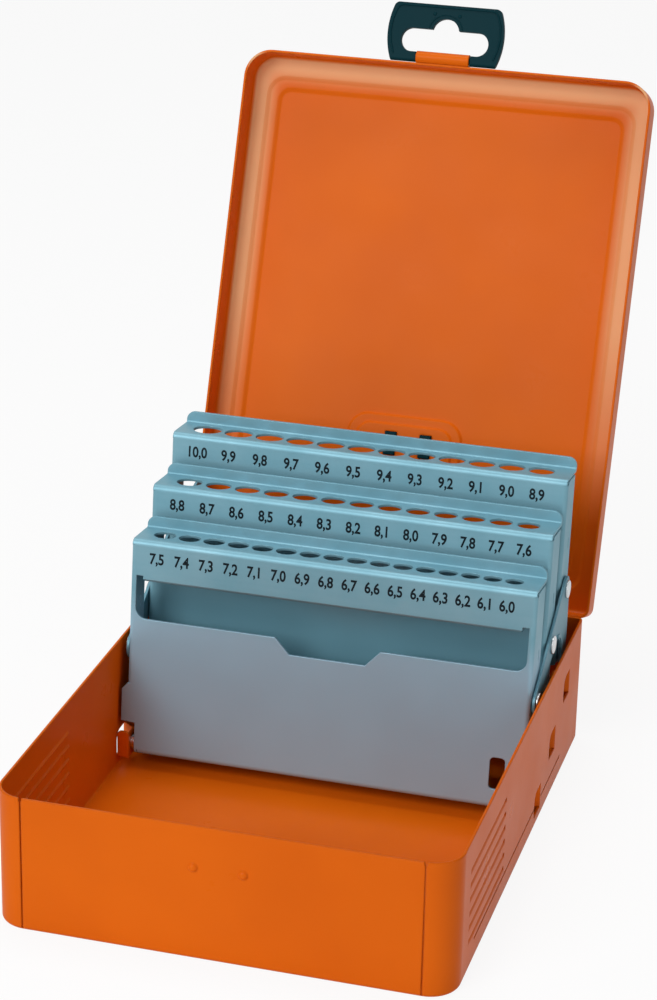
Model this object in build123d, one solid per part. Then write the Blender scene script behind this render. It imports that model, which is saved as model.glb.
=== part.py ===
from build123d import *
import os
from math import cos, radians, sin

os.makedirs("parts", exist_ok=True)

# A folding sheet-metal case for twist drills, in its open position. Millimetres, +Z up, front towards -Y,
# origin at the middle of the tray's underside.

# Width of the racks, and the room beside them for links, tongues and wall, which gives the tray's width
rack_width = 142.0
rack_room = 4.0
case_width = rack_width + 2 * rack_room

# Tray
case_depth = 188.0
base_height = 47.0
sheet = 0.8
front_corner_radius = 10.0
rear_corner_radius = 2.0
floor_bend = 1.5

# Seams where the folded front panel meets the wrapped side walls
seam_gap = 0.5
seam_bottom = 0.9
seam_notch_width = 1.0
seam_notch_depth = 1.0

# Latch bumps on the front wall
bump_x = -0.4
bump_spacing = 16.2
bump_drop = 14.4
bump_radius = 1.6
bump_height = 1.1

# Grip ribs pressed into both side walls near the front, and the long crease above the floor; insets are
# from the tray's front and rear
rib_count = 6
rib_pitch = 5.0
rib_first_z = 11.0
rib_depth = 0.5
rib_half_height = 1.0
rib_front_inset = 18.0
rib_length = 49.0
crease_z = 8.0
crease_front_inset = 26.0
crease_rear_inset = 32.0
crease_width = 0.7
crease_depth = 0.35

# Racks, and the line of pivots that carries them
rack_rows = {
    "front": [7.5, 7.4, 7.3, 7.2, 7.1, 7.0, 6.9, 6.8, 6.7, 6.6, 6.5, 6.4, 6.3, 6.2, 6.1, 6.0],
    "middle": [8.8, 8.7, 8.6, 8.5, 8.4, 8.3, 8.2, 8.1, 8.0, 7.9, 7.8, 7.7, 7.6],
    "rear": [10.0, 9.9, 9.8, 9.7, 9.6, 9.5, 9.4, 9.3, 9.2, 9.1, 9.0, 8.9],
}
row_margin = {"front": 12.25, "middle": 12.96, "rear": 12.1}
row_shift = {"front": -0.7, "middle": 0.0, "rear": -0.5}
hole_play = 0.2
pivot_inset = 70.0
pivot_z = 9.2
pitch_y = 21.5
pitch_z = 11.7
rack_lean = 6.2
rack_fold_angle = 89.2

# One rack, measured from its pivot axis: up along the plate, and back from it
rack_sheet = 0.9
rack_top = 75.0
rack_bottom = -3.4
rack_face = -3.4
strip_depth = 15.7
lip_height = 4.0
lip_corner = 3.0
cheek_depth = 12.6
cheek_gap = 0.3
fold_radius = 2.0
small_fold_radius = 1.5
hole_row = 8.5
shelf_depth = 13.0
comb_depth = 14.4
comb_inset = 4.8

# Window in the rack's plate, measured down from the top fold
window_top = 14.0
window_relief = 12.8
window_bottom = 28.4
window_inset = 2.1
window_corner = 4.0
dip_bottom = 34.0
dip_half_top = 18.6
dip_half_bottom = 13.4
hatch_inset = 7.0
hatch_width = 5.3
hatch_top = 60.0
hatch_bottom = 71.5
hatch_corner = 1.5
slit_top = 22.7
slit_bottom = 26.6
slit_back = 5.3
slit_width = 0.7

# Narrow foot of the rack with its pivot ears, and the small wings of the front rack
foot_inset = 3.1
foot_top = 8.2
ear_depth = 7.0
ear_corner = 3.0
wing_reach = 1.9
wing_bottom = 8.4
wing_top = 20.3
wing_slope_top = 22.5

# Lanced tongues in the side walls, measured from each pivot axis
tongue_inset = 4.6
tongue_front = 3.4
tongue_pad_rear = 2.6
tongue_rear = 6.2
tongue_below = 5.0
tongue_above = 4.2
tongue_slit = 0.3
tongue_lip_gap = 0.5
tongue_lip_above = 5.3
tongue_lip_corner = 1.5
window_high_corner = 3.6
window_low_corner = 1.0

# Pivot rivets
rivet_radius = 1.5
running_play = 0.05
side_play = 0.1
pivot_head_radius = 2.2
pivot_head = 0.9
pivot_tail_radius = 2.3
pivot_tail = 0.7
washer_radius = 3.0

# Side links: distance of the link rivets from the pivots, along and behind the rack
link_up = 34.6
link_back = 2.7
link_sheet = 1.0
link_end_radius = 4.5
link_head_radius = 3.2
link_head = 0.9
link_head_round = 0.5
link_tail_radius = 2.4
link_tail = 0.7
arm_y = -0.8
arm_z = -22.5
arm_radius = 4.9
bight_y = -13.0
bight_z = -20.5
bight_radius = 6.6
bead_radius = 8.4
bead_width = 1.3
bead_height = 0.4
bead_drop = 5.0

# Lid
lid_depth = 12.0
lid_side_overlap = 0.3
lid_rear_overlap = 3.2
lid_front_overlap = 0.4
lid_gap = 0.2
lid_corner_radius = 10.0
lid_rear_corner_radius = 3.5
lid_bend = 2.5
lid_open = 111.0
step_height = 0.8
step_angle = 60.0
border_side = 6.2
border_end = 7.8
step_spacing = 4.1
step_corner = 7.0
corner_step = 2.0
boss_x = -2.2
boss_width = 42.5
boss_centre = 52.0
boss_length = 24.0
boss_height = 1.0
boss_angle = 30.0
boss_spacing = 3.2
boss_corner = 8.0

# Blank plate clipped to the outside of the lid
clip_slot_width = 4.4
clip_slot_length = 8.6
clip_slot_spacing = 13.1
clip_x = -0.4
clip_slot_centre = 53.9
clip_play = 0.15
clip_plate_thickness = 1.6
clip_tongue_rise = 1.2

# Hinges behind the rear wall
hinge_back = 4.1
hinge_drop = 3.5
hinge_inset = 34.0
knuckle_radius = 2.5
pin_radius = 1.4
knuckle_length = 6.0
knuckle_gap = 0.3
leaf_sheet = 0.8
base_leaf_bottom = 22.0
base_leaf_neck = 3.0
lid_leaf_top = 58.0
lid_leaf_neck = 0.6
leaf_slope = 0.6
knuckle_bite = 1.2
pin_proud = 0.5

# Latch with its hanging slot, carried by a rolled tab on the lid's front rim
latch_x = -2.0
latch_width = 38.6
latch_bulge = 2.1
latch_thickness = 2.4
latch_below = 1.9
latch_edge_round = 1.1
latch_above = 19.2
latch_corner = 2.0
latch_axis_out = 2.2
latch_axis_up = 1.4
latch_pin_radius = 1.2
slot_length = 32.4
slot_radius = 4.25
slot_up = 6.0
slot_round_up = 9.3
slot_round_radius = 5.0
tab_width = 19.5
tab_roll_radius = 2.2
tab_play = 0.08
tab_side_play = 0.3
tab_relief = 0.4

# Drive: a pin in an ear on the lid's left rim rides in a slot in the left link
drive_radius = 29.5
drive_angle = 179.3
drive_pin_radius = 1.5
drive_head_radius = 2.5
drive_head = 0.7
drive_play = 0.3
drive_eye_wall = 2.6
drive_steps = 8
ear_half_width = 4.0
ear_wall_play = 0.3
ear_round = 3.2

# How far cutters run past the faces that they open, and what keeps two rounded corners apart
past = 1.0
fit = 0.01

# Worked-out places
half_width = case_width / 2
front_y = -case_depth / 2
rear_y = case_depth / 2
inner_wall_x = half_width - sheet
tongue_x = inner_wall_x - tongue_inset
rack_half = rack_width / 2
foot_half_width = rack_half - foot_inset
comb_half_width = rack_half - comb_inset
rack_inner = rack_face + rack_sheet
strip_rear = rack_face + strip_depth
cheek_rear = rack_face + cheek_depth
link_x = rack_half + cheek_gap
link_outer_x = link_x + link_sheet
hinge_x = half_width - hinge_inset
leaf_half = 3 * knuckle_length / 2 + knuckle_gap
hinge_y = rear_y + hinge_back
hinge_z = base_height - hinge_drop
lid_z = base_height + lid_gap
lid_rear_y = rear_y + lid_rear_overlap
lid_front_y = front_y - lid_front_overlap
lid_half = half_width + lid_side_overlap
lid_length = lid_rear_y - lid_front_y
lid_mid_y = (lid_rear_y + lid_front_y) / 2
latch_y = lid_front_y - latch_axis_out
latch_z = lid_z + latch_axis_up
drive_y = hinge_y + drive_radius * cos(radians(drive_angle))
drive_z = hinge_z + drive_radius * sin(radians(drive_angle))
rack_names = list(rack_rows)
pivots = [(rear_y - pivot_inset + i * pitch_y, pivot_z + i * pitch_z) for i in range(len(rack_names))]


def span(x0, x1, y0, y1, z0, z1):
    """Box between two corners."""
    return Pos((x0 + x1) / 2, (y0 + y1) / 2, (z0 + z1) / 2) * Box(abs(x1 - x0), abs(y1 - y0), abs(z1 - z0))


def profile(points, rounds=()):
    """Face from corner points, with some of its corners rounded."""
    face = make_face(Polyline(*points, close=True))
    for point, radius in rounds:
        corner = face.vertices().sort_by_distance(Vector(*point))[0]
        face = fillet(corner, radius)
    return face


def along_x(face, x0, x1):
    """Solid from a face drawn in (Y, Z), between two X values."""
    standing = Plane.YZ * face
    return Pos(min(x0, x1), 0, 0) * extrude(standing, abs(x1 - x0))


def along_y(face, y0, y1):
    """Solid from a face drawn in (X, Z), between two Y values."""
    standing = Plane.XZ * face
    return Pos(0, max(y0, y1), 0) * extrude(standing, abs(y1 - y0))


def disc_x(x0, x1, y, z, radius):
    """Round bar along X."""
    return Pos(0, y, z) * along_x(Circle(radius), x0, x1)


def plan(width, depth, front_radius, rear_radius):
    """Rounded rectangle with its own radius at the front and at the rear."""
    face = Rectangle(width, depth)
    face = fillet(face.vertices().sort_by(Axis.Y)[:2], front_radius)
    return fillet(face.vertices().sort_by(Axis.Y)[-2:], rear_radius)


def on_hinge(shape):
    """Turn a shape of the closed lid to the open position."""
    to_axis = Pos(0, hinge_y, hinge_z)
    return to_axis * Rot(-lid_open, 0, 0) * Pos(0, -hinge_y, -hinge_z) * shape


def on_pivot(shape, index):
    """Place a shape drawn round a rack's pivot."""
    y, z = pivots[index]
    return Pos(0, y, z) * Rot(-rack_lean, 0, 0) * shape


def link_rivet_place(index):
    """Y and Z of a link rivet when the racks stand up."""
    lean = radians(rack_lean)
    y, z = pivots[index]
    return (y + link_up * sin(lean) + link_back * cos(lean), z + link_up * cos(lean) - link_back * sin(lean))


def tray_shell():
    """Floor and four walls of one folded sheet."""
    outer = extrude(plan(case_width, case_depth, front_corner_radius, rear_corner_radius), base_height)
    outer = fillet(outer.faces().sort_by(Axis.Z)[0].edges(), floor_bend)
    inner_plan = plan(
        case_width - 2 * sheet, case_depth - 2 * sheet,
        front_corner_radius - sheet, rear_corner_radius - sheet,
    )
    inner = Pos(0, 0, sheet) * extrude(inner_plan, base_height)
    inner = fillet(inner.faces().sort_by(Axis.Z)[0].edges(), floor_bend - sheet)
    return outer - inner


def tray_seams():
    """Slits and their top notches beside the front panel."""
    cuts = []
    behind = front_y + sheet + past
    for side in (-1, 1):
        x = side * (half_width - front_corner_radius)
        slit = seam_gap / 2
        cuts.append(span(x - slit, x + slit, front_y - past, behind, seam_bottom, base_height + past))
        notch = seam_notch_width / 2
        notch_z = base_height - seam_notch_depth
        cuts.append(span(x - notch, x + notch, front_y - past, behind, notch_z, base_height + past))
    return cuts


def tray_bumps():
    """Two low domes that the latch snaps over."""
    ball = (bump_radius**2 + bump_height**2) / (2 * bump_height)
    domes = []
    for side in (-1, 1):
        centre = Pos(bump_x + side * bump_spacing / 2, front_y + ball - bump_height, base_height - bump_drop)
        keep = span(-half_width, half_width, front_y - bump_height, front_y + sheet / 2, 0, base_height)
        domes.append((centre * Sphere(ball)) & keep)
    return domes


def wall_ribs(side):
    """Grooves outside and ribs inside that make the side wall's grip, and the crease groove."""
    grooves = []
    ribs = []
    rib_y0 = front_y + rib_front_inset
    rib_y1 = rib_y0 + rib_length
    for row in range(rib_count):
        z = rib_first_z + row * rib_pitch
        low, high = z - rib_half_height, z + rib_half_height
        outer, inner = side * half_width, side * inner_wall_x
        dent = [(outer, low), (outer - side * rib_depth, z), (outer, high)]
        swell = [(inner, low), (inner - side * rib_depth, z), (inner, high)]
        grooves.append(along_y(profile(dent), rib_y0, rib_y1))
        ribs.append(along_y(profile(swell), rib_y0, rib_y1))
    crease_x = side * half_width
    crease_y0, crease_y1 = front_y + crease_front_inset, rear_y - crease_rear_inset
    grooves.append(
        span(
            crease_x - side * crease_depth, crease_x, crease_y0, crease_y1,
            crease_z - crease_width / 2, crease_z + crease_width / 2,
        )
    )
    return grooves, ribs


def tongue_window(side, y, z):
    """Opening that the tongue leaves in the side wall."""
    front, rear, low, high = y - tongue_front, y + tongue_rear, z - tongue_below, z + tongue_above
    rounds = [((front, high), window_high_corner), ((front, low), window_low_corner)]
    face = profile([(front, low), (rear, low), (rear, high), (front, high)], rounds)
    return along_x(face, side * (inner_wall_x - past), side * (half_width + past))


def tongue(side, y, z):
    """Tongue from the window's rear edge to a flat pad at the pivot, with a lip turned back to the wall."""
    outer, inner, pad = side * half_width, side * inner_wall_x, side * tongue_x
    back = pad + side * sheet
    root, nose = y + tongue_rear, y - tongue_front
    lip = side * (inner_wall_x - tongue_lip_gap)
    points = [
        (outer, root + sheet), (outer, root), (back, y + tongue_pad_rear), (back, nose - sheet),
        (pad, nose - sheet), (pad, y + tongue_pad_rear + sheet / 2), (inner, root + sheet / 2),
        (inner, root + sheet),
    ]
    low, high = z - tongue_below + tongue_slit, z + tongue_above - tongue_slit
    body = Pos(0, 0, low) * extrude(make_face(Polyline(*points, close=True)), high - low)
    top = z + tongue_lip_above
    rounds = [((pad, top), tongue_lip_corner), ((lip, top), tongue_lip_corner)]
    body += along_y(profile([(pad, low), (lip, low), (lip, top), (pad, top)], rounds), nose - sheet, nose)
    return body - disc_x(pad - side, back + side, y, z, rivet_radius)


def base_tray():
    """Painted tray with seams, bumps, ribs and six pivot tongues."""
    tray = tray_shell()
    for cut in tray_seams():
        tray -= cut
    for dome in tray_bumps():
        tray += dome
    for side in (-1, 1):
        grooves, ribs = wall_ribs(side)
        for groove in grooves:
            tray -= groove
        for rib in ribs:
            tray += rib
        for y, z in pivots:
            tray -= tongue_window(side, y, z)
            tray += tongue(side, y, z)
    return tray


def hole_places(name):
    """X of each drill hole of a rack, with even webs."""
    sizes = rack_rows[name]
    length = rack_width - row_margin[name]
    web = (length - sum(sizes)) / (len(sizes) - 1)
    places = []
    edge = row_shift[name] - length / 2
    for size in sizes:
        places.append((edge + size / 2, size))
        edge += size + web
    return places


def rack_head():
    """Top fold, strip and rear lip of a rack."""
    top, face, inner = rack_top, rack_face, rack_inner
    under = top - rack_sheet
    low = top - fold_radius
    lip_rear = strip_rear + rack_sheet
    points = [
        (face, low), (face, top), (strip_rear, top), (strip_rear, top + lip_height),
        (lip_rear, top + lip_height), (lip_rear, under), (inner, under), (inner, low),
    ]
    snug = small_fold_radius - rack_sheet
    rounds = [
        ((face, top), fold_radius - fit), ((inner, under), fold_radius - rack_sheet - fit),
        ((strip_rear, top), snug), ((lip_rear, under), small_fold_radius),
    ]
    reach = rack_half - cheek_gap
    return along_x(profile(points, rounds), -reach, reach)


def rack_foot():
    """Narrow foot of the plate, and the shelf that the drill tips stand on."""
    face, inner, low = rack_face, rack_inner, rack_bottom
    over = low + rack_sheet
    rear = face + shelf_depth
    bend = low + fold_radius
    plate = span(-foot_half_width, foot_half_width, face, inner, bend, foot_top)
    points = [(face, low), (face, bend), (inner, bend), (inner, over), (rear, over), (rear, low)]
    rounds = [((face, low), fold_radius - fit), ((inner, over), fold_radius - rack_sheet - fit)]
    reach = foot_half_width - rack_sheet - cheek_gap
    return plate + along_x(profile(points, rounds), -reach, reach)


def rack_channel():
    """Plate and both side cheeks of a rack as one folded channel."""
    face, rear, half, inner = rack_face, cheek_rear, rack_half, rack_half - rack_sheet
    points = [
        (-half, face), (half, face), (half, rear), (inner, rear), (inner, rack_inner), (-inner, rack_inner),
        (-inner, rear), (-half, rear),
    ]
    snug = small_fold_radius - rack_sheet
    rounds = [
        ((-half, face), small_fold_radius), ((half, face), small_fold_radius),
        ((inner, rack_inner), snug), ((-inner, rack_inner), snug),
    ]
    top = rack_top - fold_radius
    channel = Pos(0, 0, foot_top) * extrude(profile(points, rounds), top - foot_top)
    for side in (-1, 1):
        tip = rack_top - rack_sheet - cheek_gap
        channel += span(side * inner, side * half, face + fold_radius, rear, top, tip)
    return channel


def rack_comb():
    """Guide comb folded back from the window's top edge."""
    face, inner = rack_face, rack_inner
    top = rack_top - window_top
    under = top - rack_sheet
    rear = face + comb_depth
    points = [
        (face, top + fold_radius), (face, under), (rear, under), (rear, top), (inner, top),
        (inner, top + fold_radius),
    ]
    rounds = [((face, under), small_fold_radius), ((inner, top), small_fold_radius - rack_sheet)]
    return along_x(profile(points, rounds), -comb_half_width, comb_half_width)


def rack_window():
    """Wide window with a dip in the middle and relief slots at its top corners."""
    top, relief = rack_top - window_top, rack_top - window_relief
    low, dip = rack_top - window_bottom, rack_top - dip_bottom
    half, slot = rack_half - window_inset, comb_half_width + cheek_gap
    points = [
        (-half, relief), (-slot, relief), (-slot, top), (slot, top), (slot, relief), (half, relief),
        (half, low), (dip_half_top, low), (dip_half_bottom, dip), (-dip_half_bottom, dip),
        (-dip_half_top, low), (-half, low),
    ]
    rounds = [((half, low), window_corner), ((-half, low), window_corner)]
    return along_y(profile(points, rounds), rack_face - past, rack_inner + past / 2)


def rack_ear(side):
    """Pivot ear folded back from the foot."""
    rear = rack_face + ear_depth
    points = [(rack_face, rack_bottom), (rear, rack_bottom), (rear, foot_top), (rack_face, foot_top)]
    rounds = [((rear, rack_bottom), ear_corner), ((rear, foot_top), ear_corner)]
    rounds.append(((rack_face, rack_bottom), fold_radius - fit))
    x0, x1 = side * (foot_half_width - rack_sheet), side * foot_half_width
    ear = along_x(profile(points, rounds), x0, x1)
    return ear - disc_x(x0 - side, x1 + side, 0, 0, rivet_radius + running_play)


def cheek_holes(side):
    """Hole for the link rivet and a small slit in a cheek."""
    x0, x1 = side * (rack_half - rack_sheet - past), side * (rack_half + past)
    slit_z0, slit_z1 = rack_top - slit_bottom, rack_top - slit_top
    slit = span(x0, x1, slit_back - slit_width / 2, slit_back + slit_width / 2, slit_z0, slit_z1)
    return disc_x(x0, x1, link_back, link_up, rivet_radius + running_play) + slit


def rack_hatch():
    """Small upright opening at the right end of the plate."""
    low, high = rack_top - hatch_bottom, rack_top - hatch_top
    right = rack_half - hatch_inset
    left = right - hatch_width
    corners = [(left, low), (right, low), (right, high), (left, high)]
    rounds = [(corner, hatch_corner) for corner in corners]
    return along_y(profile(corners, rounds), rack_face - past, rack_inner + past)


def rack_wing(side):
    """Small wing beside the front rack's plate, sloped off at its top."""
    inner, edge, outer = rack_half - fold_radius, rack_half, rack_half + wing_reach
    points = [
        (side * inner, wing_bottom), (side * outer, wing_bottom), (side * outer, wing_top),
        (side * edge, wing_slope_top), (side * inner, wing_slope_top),
    ]
    return along_y(profile(points), rack_face, rack_inner)


def rack(name):
    """One rack round its own pivot axis."""
    body = rack_channel() + rack_foot() + rack_head()
    body -= rack_window()
    body += rack_comb()
    body -= rack_hatch()
    for side in (-1, 1):
        body += rack_ear(side)
        body -= cheek_holes(side)
        if name == "front":
            body += rack_wing(side)
    for x, size in hole_places(name):
        depth = window_top + fold_radius
        drill = Cylinder((size + hole_play) / 2, depth + past)
        body -= Pos(x, rack_face + hole_row, rack_top - (depth - past) / 2) * drill
    lip_edges = body.edges().filter_by(Axis.Y).group_by(Axis.Z)[-1]
    return fillet(lip_edges, lip_corner)


def pivot_rivet(side, y, z):
    """Rivet through tongue, washer and ear."""
    ear_inner = foot_half_width - rack_sheet - side_play
    tail = tongue_x + sheet
    shank = disc_x(side * ear_inner, side * tail, y, z, rivet_radius)
    head = disc_x(side * (ear_inner - pivot_head), side * ear_inner, y, z, pivot_head_radius)
    closing = disc_x(side * tail, side * (tail + pivot_tail), y, z, pivot_tail_radius)
    return shank + head + closing


def pivot_washer(side, y, z):
    """Spacer between the ear and the tongue."""
    x0, x1 = side * (foot_half_width + side_play), side * tongue_x
    return disc_x(x0, x1, y, z, washer_radius) - disc_x(x0 - side, x1 + side, y, z, rivet_radius)


def link_outline():
    """Side link: bar along the three rivets, arm below the rear rivet, round bight between them."""
    places = [link_rivet_place(i) for i in range(len(pivots))]
    last_y, last_z = places[-1]
    ends = [Pos(*places[0]) * Circle(link_end_radius), Pos(*places[-1]) * Circle(link_end_radius)]
    bar = make_hull((ends[0] + ends[1]).edges())
    arm_end = Pos(last_y + arm_y, last_z + arm_z) * Circle(arm_radius)
    arm = make_hull((ends[1] + arm_end).edges())
    middle = places[-2]
    web = make_face(Polyline(middle, places[-1], (last_y + arm_y, last_z + arm_z), close=True))
    bight = Pos(last_y + bight_y, last_z + bight_z) * Circle(bight_radius)
    return bar + arm + (web - bight)


def link_bead():
    """Raised curved bead beside the bight."""
    last_y, last_z = link_rivet_place(len(pivots) - 1)
    centre = Pos(last_y + bight_y, last_z + bight_z)
    ring = centre * (Circle(bead_radius) - Circle(bead_radius - bead_width))
    window = centre * Pos(bead_radius, bead_radius - bead_drop) * Rectangle(2 * bead_radius, 2 * bead_radius)
    return ring & window


def drive_offset(closing):
    """Place of the drive pin in the left link, when the lid has turned by this angle from open."""
    pin_angle = radians(drive_angle - lid_open + closing)
    pin_y = hinge_y + drive_radius * cos(pin_angle)
    pin_z = hinge_z + drive_radius * sin(pin_angle)
    lean = radians(rack_lean - closing * rack_fold_angle / lid_open)
    swing_y = link_up * sin(lean) + link_back * cos(lean)
    swing_z = link_up * cos(lean) - link_back * sin(lean)
    return (pin_y - pivots[-1][0] - swing_y, pin_z - pivots[-1][1] - swing_z)


def drive_track(radius):
    """Rounded outline that the drive pin's path fills when it is swept by a circle."""
    base_y, base_z = link_rivet_place(len(pivots) - 1)
    circles = Sketch()
    for step in range(drive_steps + 1):
        y, z = drive_offset(step * lid_open / drive_steps)
        circles += Pos(base_y + y, base_z + z) * Circle(radius)
    return make_hull(circles.edges())


def drive_arm():
    """Rearward arm of the left link, up to the eye round the drive slot."""
    root = Pos(*link_rivet_place(len(pivots) - 1)) * Circle(link_end_radius)
    eye = drive_track(drive_pin_radius + drive_play + drive_eye_wall)
    return make_hull((root + eye).edges())


def link_plate(side):
    """Side link that keeps the racks parallel; the left one also takes the lid's drive."""
    outline = link_outline()
    if side < 0:
        outline += drive_arm()
    body = along_x(outline, side * link_x, side * link_outer_x)
    bead_tip = side * (link_outer_x + bead_height)
    body += along_x(link_bead(), side * link_outer_x, bead_tip)
    if side < 0:
        slot = drive_track(drive_pin_radius + drive_play)
        body -= along_x(slot, side * (link_x - past), side * (link_outer_x + past))
    for index in range(len(pivots)):
        y, z = link_rivet_place(index)
        body -= disc_x(side * (link_x - past), side * (link_outer_x + past), y, z, rivet_radius)
    return body


def link_rivet(side, index):
    """Rivet fixed in the link and turning in the rack's cheek."""
    y, z = link_rivet_place(index)
    cheek_inner = rack_half - rack_sheet - side_play
    shank = disc_x(side * cheek_inner, side * link_outer_x, y, z, rivet_radius)
    tail = disc_x(side * (cheek_inner - link_tail), side * cheek_inner, y, z, link_tail_radius)
    head = disc_x(side * link_outer_x, side * (link_outer_x + link_head), y, z, link_head_radius)
    rim = head.faces().sort_by(Axis.X)[-1 if side > 0 else 0].edges()
    return shank + tail + fillet(rim, link_head_round)


def lid_plan(inset):
    """Rounded outline of the lid, moved in by one wall or not at all."""
    front, rear = lid_corner_radius - inset, lid_rear_corner_radius - inset
    return Pos(0, lid_mid_y) * plan(2 * (lid_half - inset), lid_length - 2 * inset, front, rear)


def lid_panel_step(number, grow):
    """Tapered raised panel of the lid; grow makes the outer one larger than the hollow under it."""
    side = border_side + number * step_spacing - grow
    end = border_end + number * step_spacing - grow
    corner = step_corner - number * corner_step + grow
    width = 2 * (lid_half - side)
    face = Pos(0, lid_mid_y) * plan(width, lid_length - 2 * end, corner, corner)
    return extrude(face, step_height, taper=step_angle)


def lid_boss(number, grow, height):
    """Tapered pressing round the clip slots, facing into the lid."""
    inset = number * boss_spacing - grow
    width, length = boss_width - 2 * inset, boss_length - 2 * inset
    corner = boss_corner - number * corner_step
    face = Pos(boss_x, lid_rear_y - boss_centre) * plan(width, length, corner, corner)
    return extrude(face, -height, taper=boss_angle)


def lid_shell():
    """Painted lid in its closed place: rims, stepped panel, boss and rolled tab."""
    roof = lid_z + lid_depth
    hollow = roof - sheet
    outer = Pos(0, 0, lid_z) * extrude(lid_plan(0), lid_depth)
    outer = fillet(outer.faces().sort_by(Axis.Z)[-1].edges(), lid_bend)
    inner = Pos(0, 0, lid_z - past) * extrude(lid_plan(sheet), lid_depth - sheet + past)
    inner = fillet(inner.faces().sort_by(Axis.Z)[-1].edges(), lid_bend - sheet)
    for number in range(2):
        rise = number * step_height
        outer += Pos(0, 0, roof + rise) * lid_panel_step(number, sheet / 2)
        inner += Pos(0, 0, hollow + rise) * lid_panel_step(number, 0)
    shell = outer - inner
    top = roof + 2 * step_height
    under = top - sheet
    for number in range(2):
        drop = number * boss_height
        shell += Pos(0, 0, under - drop) * lid_boss(number, sheet / 2, boss_height)
        shell -= Pos(0, 0, top - drop) * lid_boss(number, 0, boss_height)
    for side in (-1, 1):
        half = clip_slot_width / 2
        x = clip_x + side * clip_slot_spacing / 2
        y = lid_rear_y - clip_slot_centre
        reach = clip_slot_length / 2
        shell -= span(x - half, x + half, y - reach, y + reach, lid_z, top + past)
    return shell + lid_tab()


def lid_tab():
    """Rolled tab that holds the latch's bar in front of the lid's rim."""
    bore = latch_pin_radius + tab_play
    half = tab_width / 2
    x0, x1 = latch_x - half, latch_x + half
    roll = disc_x(x0, x1, latch_y, latch_z, tab_roll_radius)
    root = span(x0, x1, latch_y, lid_front_y + sheet / 2, latch_z, latch_z + tab_roll_radius)
    return roll + root - disc_x(x0 - past, x1 + past, latch_y, latch_z, bore)


def lid_plate():
    """Blank plate in the boss's recess, with two snap tongues through the slots."""
    top = lid_z + lid_depth + 2 * step_height
    seat = top - 2 * boss_height
    inset = boss_spacing + sheet
    width, length = boss_width - 2 * inset, boss_length - 2 * inset
    corner = boss_corner - corner_step
    plate = extrude(plan(width, length, corner, corner), clip_plate_thickness)
    body = Pos(boss_x, lid_rear_y - boss_centre, seat) * plate
    rise = sheet + clip_tongue_rise
    for side in (-1, 1):
        half = clip_slot_width / 2 - clip_play
        x = clip_x + side * clip_slot_spacing / 2
        y = lid_rear_y - clip_slot_centre
        reach = clip_slot_length / 2 - clip_play
        body += span(x - half, x + half, y - reach, y + reach, seat - rise, seat + clip_plate_thickness / 2)
    return body


def latch_outline():
    """Latch drawn flat: bar at the origin, slot above it."""
    half, low, high, bulge = latch_width / 2, -latch_below, latch_above, latch_width / 2 + latch_bulge
    middle = (low + high) / 2
    right = ThreePointArc((half, low), (bulge, middle), (half, high))
    left = ThreePointArc((-half, high), (-bulge, middle), (-half, low))
    face = make_face([Line((-half, low), (half, low)), right, Line((half, high), (-half, high)), left])
    face = fillet(face.vertices().sort_by(Axis.Y)[-2:], latch_corner)
    slot = Pos(0, slot_up) * SlotOverall(slot_length, 2 * slot_radius)
    return face - slot - Pos(0, slot_round_up) * Circle(slot_round_radius)


def latch_hanger():
    """Plastic latch, in line with the closed lid."""
    plate = extrude(latch_outline(), latch_thickness / 2, both=True)
    low_edges = plate.edges().filter_by(Axis.X).group_by(Axis.Y)[0]
    plate = fillet(low_edges, latch_edge_round)
    half = tab_width / 2 + tab_side_play
    relief = tab_roll_radius + tab_relief
    plate -= span(-half, half, -latch_below - past, relief, -latch_thickness, latch_thickness)
    plate += disc_x(-half - past, half + past, 0, 0, latch_pin_radius)
    return Pos(latch_x, latch_y, latch_z) * Rot(0, 0, 180) * plate


def hinge_strap(points, x0, x1):
    """Strap of a hinge leaf, from its outline in (Y, Z), with its knuckle rolled round the pin."""
    strap = along_x(profile(points), x0, x1) + disc_x(x0, x1, hinge_y, hinge_z, knuckle_radius)
    return strap - disc_x(x0 - past, x1 + past, hinge_y, hinge_z, pin_radius + running_play)


def base_hinge_leaves():
    """Two leaves on the tray's rear wall, each with two knuckles."""
    group = []
    y0, y1 = rear_y, rear_y + leaf_sheet
    near = hinge_y - knuckle_radius
    neck = hinge_z - knuckle_radius - base_leaf_neck
    points = [
        (y0, base_leaf_bottom), (y1, base_leaf_bottom), (y1, neck),
        (near + leaf_sheet, hinge_z - knuckle_bite), (near, hinge_z), (y0, neck + leaf_slope),
    ]
    for side in (-1, 1):
        centre = side * hinge_x
        leaf = None
        for way in (-1, 1):
            x0 = centre + way * (knuckle_length / 2 + knuckle_gap)
            x1 = centre + way * leaf_half
            piece = hinge_strap(points, min(x0, x1), max(x0, x1))
            leaf = piece if leaf is None else leaf + piece
        joining = span(centre - leaf_half, centre + leaf_half, y0, y1, base_leaf_bottom, neck)
        group.append(leaf + joining)
    return group


def lid_hinge_leaves():
    """Two leaves on the lid's rear rim, each with one knuckle, in the closed place."""
    group = []
    y0, y1 = lid_rear_y, lid_rear_y + leaf_sheet
    neck = lid_z + lid_leaf_neck
    points = [(y0, lid_leaf_top), (y1, lid_leaf_top), (y1, hinge_z), (y0, hinge_z)]
    for side in (-1, 1):
        centre = side * hinge_x
        half = knuckle_length / 2
        strap = hinge_strap(points, centre - half, centre + half)
        wide = span(centre - leaf_half, centre + leaf_half, y0, y1, neck, lid_leaf_top)
        group.append(strap + wide)
    return group


def hinge_pins():
    """Two hinge pins, fixed in the base's knuckles."""
    pins = []
    for side in (-1, 1):
        reach = leaf_half + pin_proud
        pins.append(disc_x(side * hinge_x - reach, side * hinge_x + reach, hinge_y, hinge_z, pin_radius))
    return pins


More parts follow.
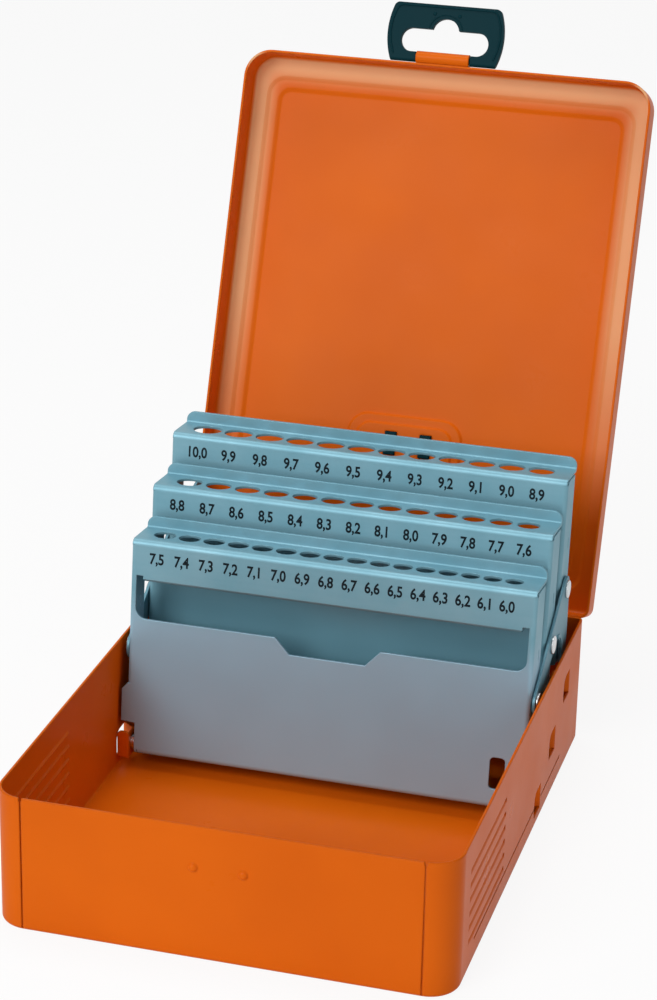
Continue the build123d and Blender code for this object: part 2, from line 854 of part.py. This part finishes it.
def drive_ear():
    """Ear on the inside of the lid's left rim, in the closed place."""
    wall = -(lid_half - sheet)
    outer = -(inner_wall_x - ear_wall_play)
    inner = outer + leaf_sheet
    y0, y1 = drive_y - ear_half_width, drive_y + ear_half_width
    foot = drive_z - ear_half_width
    blade = span(outer, inner, y0, y1, foot, lid_z + lid_depth / 2)
    corners = blade.edges().filter_by(Axis.X).group_by(Axis.Z)[0]
    blade = fillet(corners, ear_round)
    pad = span(wall, inner, y0, y1, lid_z + lid_gap, lid_z + lid_depth / 2)
    hole = disc_x(outer - past, inner + past, drive_y, drive_z, drive_pin_radius)
    return blade + pad - hole


def drive_pin():
    """Pin riveted in the ear, with a head inside the left link, in the closed place."""
    outer = -(inner_wall_x - ear_wall_play)
    head_x = -(link_x - side_play)
    shank = disc_x(outer, head_x, drive_y, drive_z, drive_pin_radius)
    head = disc_x(head_x, head_x + drive_head, drive_y, drive_z, drive_head_radius)
    return shank + head


def save(name, shape):
    """Write one node, or a group of like solids, to its file."""
    if isinstance(shape, list):
        shape = Compound(children=shape)
    export_step(shape, f"parts/{name}.step")


def both_rows(maker):
    """One list of pieces per side, one piece per rack."""
    return {side: [maker(side, y, z) for y, z in pivots] for side in (-1, 1)}


save("base_tray", base_tray())
save("base_hinge_leaves", base_hinge_leaves())
save("hinge_pins", hinge_pins())
save("lid_shell", on_hinge(lid_shell()))
save("lid_hinge_leaves", [on_hinge(leaf) for leaf in lid_hinge_leaves()])
save("lid_plate", on_hinge(lid_plate()))
save("drive_ear", on_hinge(drive_ear()))
save("drive_pin", on_hinge(drive_pin()))
save("latch_hanger", on_hinge(latch_hanger()))
for place, rack_name in enumerate(rack_names):
    save(f"rack_{rack_name}", on_pivot(rack(rack_name), place))
rivets = both_rows(pivot_rivet)
washers = both_rows(pivot_washer)
for side, word in ((-1, "left"), (1, "right")):
    save(f"pivot_rivets_{word}", rivets[side])
    save(f"pivot_washers_{word}", washers[side])
    save(f"link_plate_{word}", link_plate(side))
    save(f"link_rivets_{word}", [link_rivet(side, index) for index in range(len(pivots))])
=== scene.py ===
import math

import bmesh
import bpy
from mathutils import Matrix, Vector


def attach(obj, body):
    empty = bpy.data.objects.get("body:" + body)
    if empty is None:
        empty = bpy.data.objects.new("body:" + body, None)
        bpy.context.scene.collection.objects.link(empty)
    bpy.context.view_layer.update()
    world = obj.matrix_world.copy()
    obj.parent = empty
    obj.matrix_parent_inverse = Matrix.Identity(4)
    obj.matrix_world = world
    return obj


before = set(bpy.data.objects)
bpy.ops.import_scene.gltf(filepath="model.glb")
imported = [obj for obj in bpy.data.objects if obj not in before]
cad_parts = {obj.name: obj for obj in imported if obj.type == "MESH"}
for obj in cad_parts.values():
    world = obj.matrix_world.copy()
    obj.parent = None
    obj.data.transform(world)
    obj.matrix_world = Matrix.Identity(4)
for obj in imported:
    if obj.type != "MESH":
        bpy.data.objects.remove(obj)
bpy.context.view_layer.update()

# ---------------------------------------------------------------- tray
# The tray is folded from one steel sheet, with the front panel turned up between two seams and pivot tongues
# lanced out of the side walls. It is dipped in orange enamel, which pulls into a faint orange-peel skin.

ENAMEL = (0.74, 0.135, 0.004, 1.0)
ENAMEL_DEEP = (0.60, 0.095, 0.003, 1.0)
ENAMEL_ROUGHNESS = 0.22
ENAMEL_EDGE = 0.0009
ENAMEL_GLOSS = 0.06
GRAZED_GLOSS = 0.35
GRAZE_FROM, GRAZE_TO = 0.2, 0.75
PEEL_SCALE = 900.0
PEEL_BUMP = 0.00002
DRIFT_SCALE = 14.0
DRIFT_FROM, DRIFT_TO = 0.35, 0.7
DRIFT_SHARE = 0.55
SKIN_ROUGHNESS = 0.45
WIPE_SCALE = 45.0
WIPE_DETAIL = 5.0
WIPE_SHARE = 0.16


def new_group(name, sockets_in, sockets_out):
    """Empty shader group with its named inputs and outputs."""
    group = bpy.data.node_groups.new(name, "ShaderNodeTree")
    for label, kind, value in sockets_in:
        socket = group.interface.new_socket(label, in_out="INPUT", socket_type=kind)
        socket.default_value = value
    for label, kind in sockets_out:
        group.interface.new_socket(label, in_out="OUTPUT", socket_type=kind)
    ends = group.nodes.new("NodeGroupInput"), group.nodes.new("NodeGroupOutput")
    return group, ends[0], ends[1]


def add(tree, kind, inputs=(), **settings):
    """Node with its settings, and its inputs set or linked by name or number."""
    node = tree.nodes.new(kind)
    for name, value in settings.items():
        setattr(node, name, value)
    for key, value in inputs:
        if isinstance(value, bpy.types.NodeSocket):
            tree.links.new(value, node.inputs[key])
        else:
            node.inputs[key].default_value = value
    return node


def sprayed_skin():
    """Slow colour drift, a fine skin height and a patchy gloss for sprayed or dipped paint."""
    group, start, end = new_group(
        "sprayed_skin",
        [
            ("Colour", "NodeSocketColor", (1, 1, 1, 1)),
            ("Deep", "NodeSocketColor", (0, 0, 0, 1)),
            ("Roughness", "NodeSocketFloat", ENAMEL_ROUGHNESS),
            ("Skin scale", "NodeSocketFloat", PEEL_SCALE),
        ],
        [("Colour", "NodeSocketColor"), ("Roughness", "NodeSocketFloat"), ("Height", "NodeSocketFloat")],
    )
    place = add(group, "ShaderNodeTexCoord").outputs["Object"]
    drift = add(group, "ShaderNodeTexNoise", [("Vector", place), ("Scale", DRIFT_SCALE), ("Detail", 3.0)])
    drift_range = add(
        group, "ShaderNodeMapRange",
        [
            ("Value", drift.outputs["Fac"]), ("From Min", DRIFT_FROM), ("From Max", DRIFT_TO),
            ("To Max", DRIFT_SHARE),
        ],
    )
    colour = add(
        group, "ShaderNodeMix",
        [(0, drift_range.outputs["Result"]), (6, start.outputs["Colour"]), (7, start.outputs["Deep"])],
        data_type="RGBA",
    )
    skin = add(
        group, "ShaderNodeTexNoise",
        [
            ("Vector", place), ("Scale", start.outputs["Skin scale"]), ("Detail", 2.0),
            ("Roughness", SKIN_ROUGHNESS),
        ],
    )
    wipe = add(
        group, "ShaderNodeTexNoise", [("Vector", place), ("Scale", WIPE_SCALE), ("Detail", WIPE_DETAIL)]
    )
    gloss = add(group, "ShaderNodeMath", [(0, wipe.outputs["Fac"]), (1, WIPE_SHARE)], operation="MULTIPLY")
    rough = add(
        group, "ShaderNodeMath", [(0, start.outputs["Roughness"]), (1, gloss.outputs[0])], operation="ADD"
    )
    group.links.new(colour.outputs[2], end.inputs["Colour"])
    group.links.new(rough.outputs[0], end.inputs["Roughness"])
    group.links.new(skin.outputs["Fac"], end.inputs["Height"])
    return group


def finish_material(name, group, values, bump, edge, gloss, **principled):
    """Material whose group feeds colour, roughness and bump; soft edges, and less gloss when grazed."""
    material = bpy.data.materials.new(name)
    material.use_nodes = True
    tree = material.node_tree
    shader = tree.nodes["Principled BSDF"]
    surface = add(tree, "ShaderNodeGroup", node_tree=group)
    for label, value in values.items():
        surface.inputs[label].default_value = value
    tree.links.new(surface.outputs["Colour"], shader.inputs["Base Color"])
    tree.links.new(surface.outputs["Roughness"], shader.inputs["Roughness"])
    soft_edge = add(tree, "ShaderNodeBevel", [("Radius", edge)], samples=6)
    relief = add(
        tree, "ShaderNodeBump",
        [("Height", surface.outputs["Height"]), ("Distance", bump), ("Normal", soft_edge.outputs["Normal"])],
    )
    tree.links.new(relief.outputs["Normal"], shader.inputs["Normal"])
    graze = add(tree, "ShaderNodeLayerWeight")
    level = add(
        tree, "ShaderNodeMapRange",
        [
            ("Value", graze.outputs["Facing"]), ("From Min", GRAZE_FROM), ("From Max", GRAZE_TO),
            ("To Min", gloss), ("To Max", gloss * GRAZED_GLOSS),
        ],
    )
    tree.links.new(level.outputs["Result"], shader.inputs["Specular IOR Level"])
    for label, value in principled.items():
        shader.inputs[label].default_value = value
    return material


def paint_node(node, material):
    """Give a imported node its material."""
    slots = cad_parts[node].material_slots
    for slot in slots:
        slot.material = material


skin_group = sprayed_skin()
enamel = finish_material(
    "orange_enamel", skin_group,
    {"Colour": ENAMEL, "Deep": ENAMEL_DEEP, "Roughness": ENAMEL_ROUGHNESS, "Skin scale": PEEL_SCALE},
    PEEL_BUMP, ENAMEL_EDGE, ENAMEL_GLOSS,
)
paint_node("base_tray", enamel)
paint_node("base_hinge_leaves", enamel)

# ---------------------------------------------------------------- racks
# Three racks folded from zinc-plated strip: number plate, drilled top strip with a rear lip, cheeks and guide
# shelf. The plating is a cold blue-grey with fine rolling lines along the strip and a few handling smears.

ZINC = (0.21, 0.40, 0.48, 1.0)
ZINC_DARK = (0.16, 0.35, 0.43, 1.0)
# Paler tint for the front rack's lower plate: a painted reflection.
ZINC_PAINTED_REFLECTION = (0.29, 0.46, 0.57, 1.0)
ZINC_ROUGHNESS = 0.34
ZINC_BUMP = 0.000003
ZINC_EDGE = 0.0004
ZINC_GLOSS = 0.2
ZINC_METAL = 0.3
LINE_SCALE = 700.0
LINE_STRETCH = 0.03
LINE_SHARE = 0.25
CLOUD_SCALE = 60.0
CLOUD_DETAIL = 5.0
CLOUD_SHARE = 0.2
PLATED_FROM, PLATED_TO = 0.4, 0.9
# Heights over which the low tint of painted light comes in.
LOW_TINT_FROM, LOW_TINT_TO = 0.068, 0.052
RACK_NAMES = ("rack_front", "rack_middle", "rack_rear")


def rolled_plating():
    """Rolling lines along X with cloudy plating, for zinc-plated strip, and a low tint that carries painted
    light.
    """
    group, start, end = new_group(
        "rolled_plating",
        [
            ("Colour", "NodeSocketColor", (1, 1, 1, 1)),
            ("Deep", "NodeSocketColor", (0, 0, 0, 1)),
            ("Low tint", "NodeSocketColor", (0.5, 0.5, 0.5, 1)),
            ("Roughness", "NodeSocketFloat", ZINC_ROUGHNESS),
            ("Line scale", "NodeSocketFloat", LINE_SCALE),
        ],
        [("Colour", "NodeSocketColor"), ("Roughness", "NodeSocketFloat"), ("Height", "NodeSocketFloat")],
    )
    place = add(group, "ShaderNodeTexCoord").outputs["Object"]
    stretched = add(group, "ShaderNodeMapping", [("Vector", place), ("Scale", (LINE_STRETCH, 1.0, 1.0))])
    lines = add(
        group, "ShaderNodeTexNoise",
        [("Vector", stretched.outputs[0]), ("Scale", start.outputs["Line scale"]), ("Detail", 4.0)],
    )
    cloud = add(
        group, "ShaderNodeTexNoise", [("Vector", place), ("Scale", CLOUD_SCALE), ("Detail", CLOUD_DETAIL)]
    )
    faint = add(group, "ShaderNodeMath", [(0, lines.outputs["Fac"]), (1, LINE_SHARE)], operation="MULTIPLY")
    both = add(group, "ShaderNodeMath", [(0, faint.outputs[0]), (1, cloud.outputs["Fac"])], operation="ADD")
    spread = add(
        group, "ShaderNodeMapRange",
        [("Value", both.outputs[0]), ("From Min", PLATED_FROM), ("From Max", PLATED_TO)],
    )
    plated = add(
        group, "ShaderNodeMix",
        [(0, spread.outputs["Result"]), (6, start.outputs["Colour"]), (7, start.outputs["Deep"])],
        data_type="RGBA",
    )
    # Low down the colour blends to a second tint, which carries painted light: a painted reflection on the
    # front rack's lower plate and painted shade low in the middle and rear racks.
    height = add(group, "ShaderNodeSeparateXYZ", [(0, place)])
    low_down = add(
        group, "ShaderNodeMapRange",
        [("Value", height.outputs["Z"]), ("From Min", LOW_TINT_FROM), ("From Max", LOW_TINT_TO)],
        interpolation_type="SMOOTHSTEP",
    )
    colour = add(
        group, "ShaderNodeMix",
        [(0, low_down.outputs["Result"]), (6, plated.outputs[2]), (7, start.outputs["Low tint"])],
        data_type="RGBA",
    )
    patch = add(group, "ShaderNodeMath", [(0, cloud.outputs["Fac"]), (1, CLOUD_SHARE)], operation="MULTIPLY")
    rough = add(
        group, "ShaderNodeMath", [(0, start.outputs["Roughness"]), (1, patch.outputs[0])], operation="ADD"
    )
    group.links.new(colour.outputs[2], end.inputs["Colour"])
    group.links.new(rough.outputs[0], end.inputs["Roughness"])
    group.links.new(lines.outputs["Fac"], end.inputs["Height"])
    return group


plating_group = rolled_plating()


def zinc_finish(name, colour, deep, low_tint):
    """Zinc plating whose low part takes a tint of painted light, paler or darker as passed."""
    return finish_material(
        name, plating_group,
        {"Colour": colour, "Deep": deep, "Low tint": low_tint, "Roughness": ZINC_ROUGHNESS, "Line scale": LINE_SCALE},
        ZINC_BUMP, ZINC_EDGE, ZINC_GLOSS, Metallic=ZINC_METAL,
    )


# Low down the middle and rear racks are painted darker with ZINC_DARK: painted shade inside the stack of
# racks.
zinc = zinc_finish("zinc_plate", ZINC, ZINC_DARK, ZINC_DARK)
# The front rack's lower plate is painted paler, a painted reflection.
zinc_front = zinc_finish("zinc_plate_front", ZINC, ZINC_DARK, ZINC_PAINTED_REFLECTION)
paint_node("rack_front", zinc_front)
paint_node("rack_middle", zinc)
paint_node("rack_rear", zinc)

# ---------------------------------------------------------------- numbers
# Drill diameters pad-printed in black on each rack's plate, one under each hole. The ink is a condensed sans
# with a decimal comma, a few hundredths of a millimetre thick.

INK_FACE = -0.0034
INK_THICK = 0.00003
INK_ROW = 0.0689
DIGIT_HEIGHT = 0.0039
DIGIT_SQUEEZE = 0.82
DIGIT_BOLDNESS = 0.00014
FONT_DIGIT_PART = 0.729
RACK_LEAN = math.radians(6.2)
PIVOTS = ((0.0240, 0.0092), (0.0455, 0.0209), (0.0670, 0.0326))
ROWS = (
    (75, 74, 73, 72, 71, 70, 69, 68, 67, 66, 65, 64, 63, 62, 61, 60),
    (88, 87, 86, 85, 84, 83, 82, 81, 80, 79, 78, 77, 76),
    (100, 99, 98, 97, 96, 95, 94, 93, 92, 91, 90, 89),
)
WEBS = (0.00145, 0.00187, 0.0015)
TENTHS_TO_RADII = 20000
INK = (0.006, 0.012, 0.016, 1)
INK_DEEP = (0.012, 0.02, 0.025, 1)
WELD_DISTANCE = 0.0000005
NUMBER_ENDS = ((-0.0618, 0.0608), (-0.0617, 0.0613), (-0.0616, 0.0605))


def printed_number(tenths):
    """Mesh of one drill diameter, flat in XY and centred, with the ink's thickness."""
    text = bpy.data.curves.new("number", "FONT")
    text.body = f"{tenths // 10},{tenths % 10}"
    text.align_x = "CENTER"
    text.size = DIGIT_HEIGHT / FONT_DIGIT_PART
    text.offset = DIGIT_BOLDNESS
    text.extrude = INK_THICK / 2
    text.resolution_u = 4
    holder = bpy.data.objects.new("number", text)
    mesh = bpy.data.meshes.new_from_object(holder)
    bpy.data.objects.remove(holder)
    bpy.data.curves.remove(text)
    return mesh


ink = finish_material(
    "black_ink", skin_group,
    {"Colour": INK, "Deep": INK_DEEP, "Roughness": 0.45, "Skin scale": 2000.0},
    0.000004, 0.00001, 0.1,
)
for rack_name, sizes, web, ends, (pivot_y, pivot_z) in zip(RACK_NAMES, ROWS, WEBS, NUMBER_ENDS, PIVOTS):
    row = bmesh.new()
    steps = [0.0]
    for before, after in zip(sizes, sizes[1:]):
        steps.append(steps[-1] + (before + after) / TENTHS_TO_RADII + web)
    stretch = (ends[1] - ends[0]) / steps[-1]
    stand = (
        Matrix.Translation((0, pivot_y, pivot_z)) @ Matrix.Rotation(-RACK_LEAN, 4, "X")
        @ Matrix.Translation((0, INK_FACE - INK_THICK / 2, INK_ROW - DIGIT_HEIGHT / 2))
        @ Matrix.Rotation(math.radians(90), 4, "X") @ Matrix.Scale(DIGIT_SQUEEZE, 4, (1, 0, 0))
    )
    for tenths, step in zip(sizes, steps):
        number = printed_number(tenths)
        number.transform(Matrix.Translation((ends[0] + step * stretch, 0, 0)) @ stand)
        row.from_mesh(number)
        bpy.data.meshes.remove(number)
    mesh = bpy.data.meshes.new(rack_name + "_numbers")
    bmesh.ops.remove_doubles(row, verts=row.verts, dist=WELD_DISTANCE)
    row.to_mesh(mesh)
    row.free()
    numbers = bpy.data.objects.new(rack_name + "_numbers", mesh)
    bpy.context.scene.collection.objects.link(numbers)
    mesh.materials.append(ink)
    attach(numbers, rack_name)

# ---------------------------------------------------------------- links
# Two stamped zinc links couple the racks. Each has a bead beside its round bight, and the left one an eye
# for the lid's drive pin.

# The links' zinc is painted darker than the racks': painted shade where they sit between the racks and the
# walls.
LINK_ZINC_PAINTED_SHADE = (0.13, 0.28, 0.35, 1.0)
zinc_link_painted_shade = zinc_finish("zinc_link_painted_shade", LINK_ZINC_PAINTED_SHADE, LINK_ZINC_PAINTED_SHADE, LINK_ZINC_PAINTED_SHADE)
for node in ("link_plate_left", "link_plate_right"):
    paint_node(node, zinc_link_painted_shade)

# ---------------------------------------------------------------- rivets
# Bright nickel rivets and pins, set by hammering, so their heads are smooth with slight ripples.

# Rivets low down take the darker grey passed as their low tint.
nickel = finish_material(
    "bright_rivet", plating_group,
    {
        "Colour": (0.62, 0.66, 0.67, 1), "Deep": (0.42, 0.45, 0.46, 1), "Low tint": (0.52, 0.54, 0.55, 1),
        "Roughness": 0.1, "Line scale": 1500.0,
    },
    0.00001, 0.0003, 0.5, Metallic=1.0,
)
for node in (
    "pivot_rivets_left", "pivot_rivets_right", "link_rivets_left", "link_rivets_right",
    "pivot_washers_left", "pivot_washers_right", "hinge_pins", "drive_pin",
):
    paint_node(node, nickel)

# ---------------------------------------------------------------- lid
# The lid is a shallow pressing with a stepped panel, enamelled like the tray, hinged on two small leaves. Its
# border is painted paler on the inside near the rim, by the distance from it: a painted reflection.

LID_HALF_WIDTH = 0.0753
LID_LENGTH = 0.1886
LID_FOOT = (0.0, 0.10295, 0.0458)
LID_UP = (0.0, 0.3584, 0.9336)
LID_INWARD = (0.0, -0.9336, 0.3584)
# Pale colour painted near the rim on the inside: a painted reflection.
RIM_PAINTED_REFLECTION = (0.80, 0.42, 0.20, 1.0)
RIM_SHARE = 0.9
RIM_CORNER = 0.006
RIM_FADE_FROM, RIM_FADE_TO = 0.0118, 0.0045
RIM_EDGE_FROM, RIM_EDGE_TO = 0.0008, 0.002
RAISED_FROM, RAISED_TO = 0.03, 0.10
INNER_FROM, INNER_TO = 0.5, 0.95


def painted_rim_reflection():
    """Share of the painted reflection by the rim: strongest beside the rim on the inner face, gone a
    centimetre inside it.
    """
    group, _, end = new_group("painted_rim_reflection", [], [("Share", "NodeSocketFloat")])
    coordinates = add(group, "ShaderNodeTexCoord")
    place = coordinates.outputs["Object"]
    from_foot = add(group, "ShaderNodeVectorMath", [(0, place), (1, LID_FOOT)], operation="SUBTRACT")
    along = add(
        group, "ShaderNodeVectorMath", [(0, from_foot.outputs[0]), (1, LID_UP)], operation="DOT_PRODUCT"
    )
    apart = add(group, "ShaderNodeSeparateXYZ", [(0, place)])
    off_middle = add(group, "ShaderNodeMath", [(0, apart.outputs["X"])], operation="ABSOLUTE")
    to_side = add(
        group, "ShaderNodeMath", [(0, LID_HALF_WIDTH), (1, off_middle.outputs[0])], operation="SUBTRACT"
    )
    to_top = add(
        group, "ShaderNodeMath", [(0, LID_LENGTH), (1, along.outputs["Value"])], operation="SUBTRACT"
    )
    near = add(
        group, "ShaderNodeMath", [(0, to_side.outputs[0]), (1, to_top.outputs[0]), (2, RIM_CORNER)],
        operation="SMOOTH_MIN",
    )
    fade = add(
        group, "ShaderNodeMapRange",
        [
            ("Value", near.outputs[0]), ("From Min", RIM_FADE_FROM), ("From Max", RIM_FADE_TO),
            ("To Max", RIM_SHARE),
        ],
        interpolation_type="SMOOTHSTEP",
    )
    raised = add(
        group, "ShaderNodeMapRange",
        [("Value", along.outputs["Value"]), ("From Min", RAISED_FROM), ("From Max", RAISED_TO)],
    )
    facing = add(
        group, "ShaderNodeVectorMath", [(0, coordinates.outputs["Normal"]), (1, LID_INWARD)],
        operation="DOT_PRODUCT",
    )
    inner = add(
        group, "ShaderNodeMapRange",
        [("Value", facing.outputs["Value"]), ("From Min", INNER_FROM), ("From Max", INNER_TO)],
    )
    inside = add(
        group, "ShaderNodeMapRange",
        [("Value", near.outputs[0]), ("From Min", RIM_EDGE_FROM), ("From Max", RIM_EDGE_TO)],
    )
    high = add(
        group, "ShaderNodeMath", [(0, fade.outputs["Result"]), (1, raised.outputs["Result"])],
        operation="MULTIPLY",
    )
    held = add(
        group, "ShaderNodeMath", [(0, high.outputs[0]), (1, inside.outputs["Result"])], operation="MULTIPLY"
    )
    share = add(
        group, "ShaderNodeMath", [(0, held.outputs[0]), (1, inner.outputs["Result"])], operation="MULTIPLY"
    )
    group.links.new(share.outputs[0], end.inputs["Share"])
    return group


lid_enamel = finish_material(
    "lid_enamel", skin_group,
    {"Colour": ENAMEL, "Deep": ENAMEL_DEEP, "Roughness": ENAMEL_ROUGHNESS, "Skin scale": PEEL_SCALE},
    PEEL_BUMP, ENAMEL_EDGE, ENAMEL_GLOSS,
)
# The painted reflection is mixed over the enamel colour beside the rim.
tree = lid_enamel.node_tree
base_colour = tree.nodes["Principled BSDF"].inputs["Base Color"]
rim_share = add(tree, "ShaderNodeGroup", node_tree=painted_rim_reflection())
tinted = add(
    tree, "ShaderNodeMix",
    [(0, rim_share.outputs["Share"]), (6, base_colour.links[0].from_socket), (7, RIM_PAINTED_REFLECTION)], data_type="RGBA",
)
tree.links.new(tinted.outputs[2], base_colour)
paint_node("lid_shell", lid_enamel)
for node in ("lid_hinge_leaves", "drive_ear"):
    paint_node(node, enamel)

# ---------------------------------------------------------------- latch and blank plate
# The latch with its hanging slot and the blank plate are black moulded plastic with a fine grain. The mould
# leaves a raised border, a line round the notch and two ejector marks on the latch's inner face.

PLASTIC = (0.003, 0.028, 0.036, 1)
PLASTIC_DEEP = (0.005, 0.034, 0.042, 1)
black_plastic = finish_material(
    "black_plastic", skin_group,
    {"Colour": PLASTIC, "Deep": PLASTIC_DEEP, "Roughness": 0.24, "Skin scale": 3000.0},
    0.00001, 0.0003, 0.02,
)
paint_node("latch_hanger", black_plastic)
paint_node("lid_plate", black_plastic)

HINGE_PLACE = (0.0, 0.0981, 0.0435)
LID_OPEN = math.radians(111)
LATCH_PLACE = (-0.002, -0.0966, 0.0486)
LATCH_FACE = -0.0012
BORDER_RADIUS = 0.00038
NOTCH_LINE_SHARE = 0.6
BORDER_SIDE = ((0.0185, 0.0008), (0.0197, 0.0043), (0.0203, 0.0086), (0.0199, 0.0130), (0.0188, 0.0163))
BORDER_TOP = ((0.0180, 0.0178), (0.0166, 0.0183))
NOTCH_PLACE = (0.0, 0.0093)
NOTCH_LINE_RADIUS = 0.0063
NOTCH_LINE_RISE = math.radians(12)
NOTCH_LINE_STEPS = 16
EJECTOR_MARKS = ((-0.0046, 0.0155), (0.0046, 0.0158))
EJECTOR_RADIUS = 0.0007
EJECTOR_FLATNESS = 0.45


def moulded_line(points, radius):
    """Raised round line along points on the latch's inner face, as a mesh in the latch's own frame."""
    path = bpy.data.curves.new("line", "CURVE")
    path.dimensions = "3D"
    path.bevel_depth = radius
    path.bevel_resolution = 2
    path.use_fill_caps = True
    spline = path.splines.new("POLY")
    spline.points.add(len(points) - 1)
    for point, (x, y) in zip(spline.points, points):
        point.co = (x, y, LATCH_FACE, 1.0)
    holder = bpy.data.objects.new("line", path)
    mesh = bpy.data.meshes.new_from_object(holder)
    bpy.data.objects.remove(holder)
    bpy.data.curves.remove(path)
    return mesh


right_side = list(BORDER_SIDE + BORDER_TOP)
left_side = [(-x, y) for x, y in reversed(right_side)]
notch_line = []
for step in range(NOTCH_LINE_STEPS + 1):
    angle = NOTCH_LINE_RISE + step * (math.pi - 2 * NOTCH_LINE_RISE) / NOTCH_LINE_STEPS
    notch_line.append((
        NOTCH_PLACE[0] + NOTCH_LINE_RADIUS * math.cos(angle),
        NOTCH_PLACE[1] + NOTCH_LINE_RADIUS * math.sin(angle),
    ))
relief = bmesh.new()
for points, radius in (
    (right_side + left_side, BORDER_RADIUS),
    (notch_line, BORDER_RADIUS * NOTCH_LINE_SHARE),
):
    line = moulded_line(points, radius)
    relief.from_mesh(line)
    bpy.data.meshes.remove(line)
for x, y in EJECTOR_MARKS:
    bmesh.ops.create_uvsphere(
        relief, u_segments=16, v_segments=8, radius=EJECTOR_RADIUS,
        matrix=Matrix.Translation((x, y, LATCH_FACE)) @ Matrix.Scale(EJECTOR_FLATNESS, 4, (0, 0, 1)),
    )
to_rest = (
    Matrix.Translation(HINGE_PLACE) @ Matrix.Rotation(-LID_OPEN, 4, "X")
    @ Matrix.Translation(Vector(LATCH_PLACE) - Vector(HINGE_PLACE)) @ Matrix.Rotation(math.pi, 4, "Z")
)
bmesh.ops.transform(relief, matrix=to_rest, verts=relief.verts)
mesh = bpy.data.meshes.new("latch_relief")
relief.to_mesh(mesh)
relief.free()
latch_relief = bpy.data.objects.new("latch_relief", mesh)
bpy.context.scene.collection.objects.link(latch_relief)
mesh.materials.append(black_plastic)
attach(latch_relief, "latch")

# ---------------------------------------------------------------- studio
# A white floor and surroundings with soft light from the front left, the right and above, and the camera at
# the photograph's viewing angle.

FLOOR_RADIUS = 4.0
FLOOR_GLOW = 0.90
WORLD_FILL = 0.24


def plainly_seen(tree):
    """One for camera, glossy and transmission rays, so that the white shows but doesn't light the case."""
    rays = add(tree, "ShaderNodeLightPath")
    direct = add(
        tree, "ShaderNodeMath",
        [(0, rays.outputs["Is Camera Ray"]), (1, rays.outputs["Is Glossy Ray"])], operation="MAXIMUM",
    )
    return add(
        tree, "ShaderNodeMath", [(0, direct.outputs[0]), (1, rays.outputs["Is Transmission Ray"])],
        operation="MAXIMUM",
    )


floor_mesh = bmesh.new()
bmesh.ops.create_circle(floor_mesh, cap_ends=True, radius=FLOOR_RADIUS, segments=64)
mesh = bpy.data.meshes.new("floor")
floor_mesh.to_mesh(mesh)
floor_mesh.free()
floor = bpy.data.objects.new("floor", mesh)
bpy.context.scene.collection.objects.link(floor)
paper = bpy.data.materials.new("white_paper")
paper.use_nodes = True
tree = paper.node_tree
tree.nodes["Principled BSDF"].inputs["Base Color"].default_value = (0.86, 0.86, 0.86, 1)
tree.nodes["Principled BSDF"].inputs["Roughness"].default_value = 0.9
seen = plainly_seen(tree)
share = add(tree, "ShaderNodeMath", [(0, seen.outputs[0]), (1, FLOOR_GLOW)], operation="MULTIPLY")
glow = add(tree, "ShaderNodeEmission", [("Color", (1, 1, 1, 1)), ("Strength", 1.0)])
mixed = add(
    tree, "ShaderNodeMixShader",
    [(0, share.outputs[0]), (1, tree.nodes["Principled BSDF"].outputs[0]), (2, glow.outputs[0])],
)
tree.links.new(mixed.outputs[0], tree.nodes["Material Output"].inputs["Surface"])
mesh.materials.append(paper)

world = bpy.data.worlds.new("studio")
bpy.context.scene.world = world
world.use_nodes = True
tree = world.node_tree
seen = plainly_seen(tree)
strength = add(
    tree, "ShaderNodeMapRange", [("Value", seen.outputs[0]), ("To Min", WORLD_FILL), ("To Max", 1.0)]
)
tree.nodes["Background"].inputs["Color"].default_value = (1, 1, 1, 1)
tree.links.new(strength.outputs["Result"], tree.nodes["Background"].inputs["Strength"])


def soft_light(name, place, target, size, power):
    """Square area light that looks at a point."""
    lamp = bpy.data.lights.new(name, "AREA")
    lamp.shape = "SQUARE"
    lamp.size = size
    lamp.energy = power
    holder = bpy.data.objects.new(name, lamp)
    holder.location = place
    holder.rotation_euler = (Vector(target) - Vector(place)).to_track_quat("-Z", "Y").to_euler()
    bpy.context.scene.collection.objects.link(holder)


soft_light("key", (-0.45, -1.2, 0.95), (0, 0, 0.08), 0.9, 15.0)
soft_light("fill", (1.1, -0.4, 0.5), (0, 0, 0.08), 0.8, 1.5)
soft_light("top", (-0.1, 0.25, 1.5), (0, 0, 0), 0.5, 7.0)

FRAME_WIDTH = 657
HALF_FRAME_HEIGHT = 500.0
FOCAL_PIXELS = 2971.23
SENSOR_WIDTH = 36.0
CENTRE_X, CENTRE_Y = 310.2, 535.7
lens = bpy.data.cameras.new("photo_camera")
lens.sensor_fit = "HORIZONTAL"
lens.sensor_width = SENSOR_WIDTH
lens.lens = FOCAL_PIXELS * SENSOR_WIDTH / FRAME_WIDTH
lens.shift_x = (FRAME_WIDTH / 2 - CENTRE_X) / FRAME_WIDTH
lens.shift_y = (CENTRE_Y - HALF_FRAME_HEIGHT) / FRAME_WIDTH
right = Vector((0.960196, 0.278716, 0.018489))
down = Vector((0.125676, -0.371953, -0.919705))
ahead = Vector((-0.249460, 0.885420, -0.392175))
camera = bpy.data.objects.new("photo_camera", lens)
camera.matrix_world = Matrix.Translation((0.241043, -0.854078, 0.484888)) @ Matrix(
    (right, -down, -ahead)
).transposed().to_4x4()
bpy.context.scene.collection.objects.link(camera)
bpy.context.scene.camera = camera
bpy.context.scene.view_settings.view_transform = "Standard"
